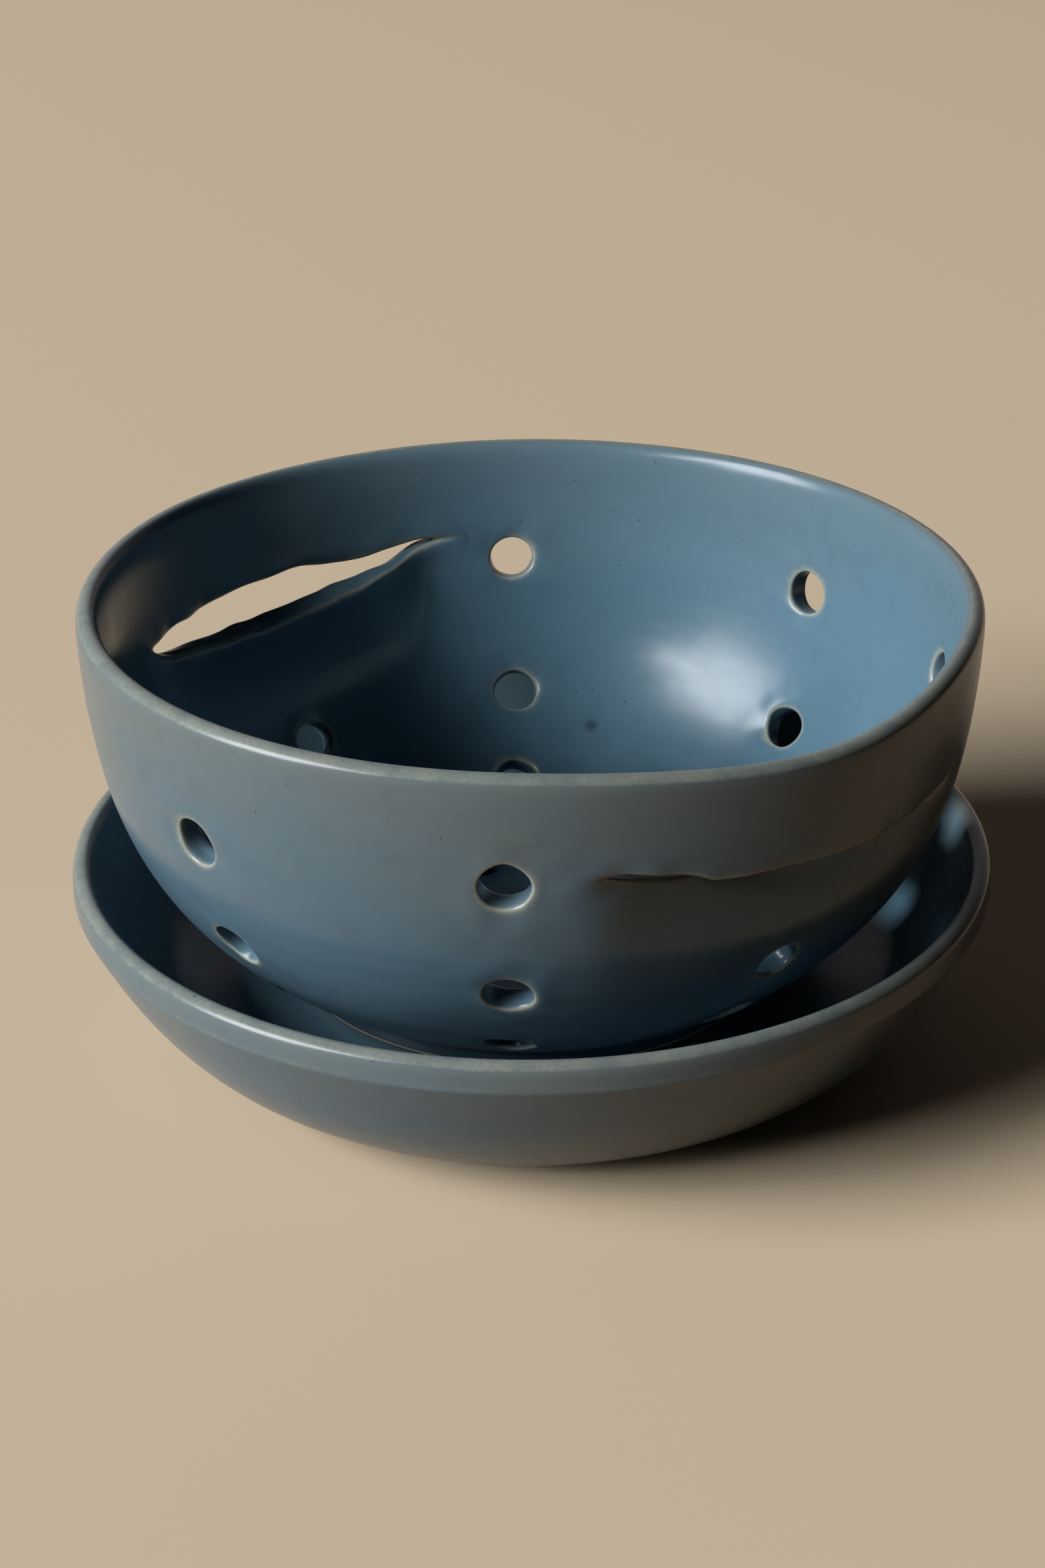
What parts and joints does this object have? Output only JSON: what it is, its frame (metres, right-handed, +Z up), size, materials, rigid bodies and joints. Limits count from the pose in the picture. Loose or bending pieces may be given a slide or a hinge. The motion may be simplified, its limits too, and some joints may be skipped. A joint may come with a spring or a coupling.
{
  "type": "berry bowl",
  "caption": "Round glazed stoneware colander bowl with drain holes and finger-slit handles, standing loose in its own drip saucer.",
  "frame": {"origin": "on the table under the middle of the saucer", "axes": "+Z up along the wheel axis of both pots, -Y towards the front, +X to the right"},
  "size_m": [0.174, 0.174, 0.0895],
  "materials": {
    "bowl_glaze": "satin slate-blue glaze",
    "saucer_glaze": "satin slate-blue glaze"
  },
  "bodies": {
    "saucer": {"drip_saucer": "saucer_glaze"},
    "bowl": {"colander_bowl": "bowl_glaze"}
  },
  "joints": [
    {"name": "bowl_lift", "type": "slide", "parent": "saucer", "child": "bowl", "axis": [0, 0, 1], "range_m": [0, 0.045]}
  ]
}
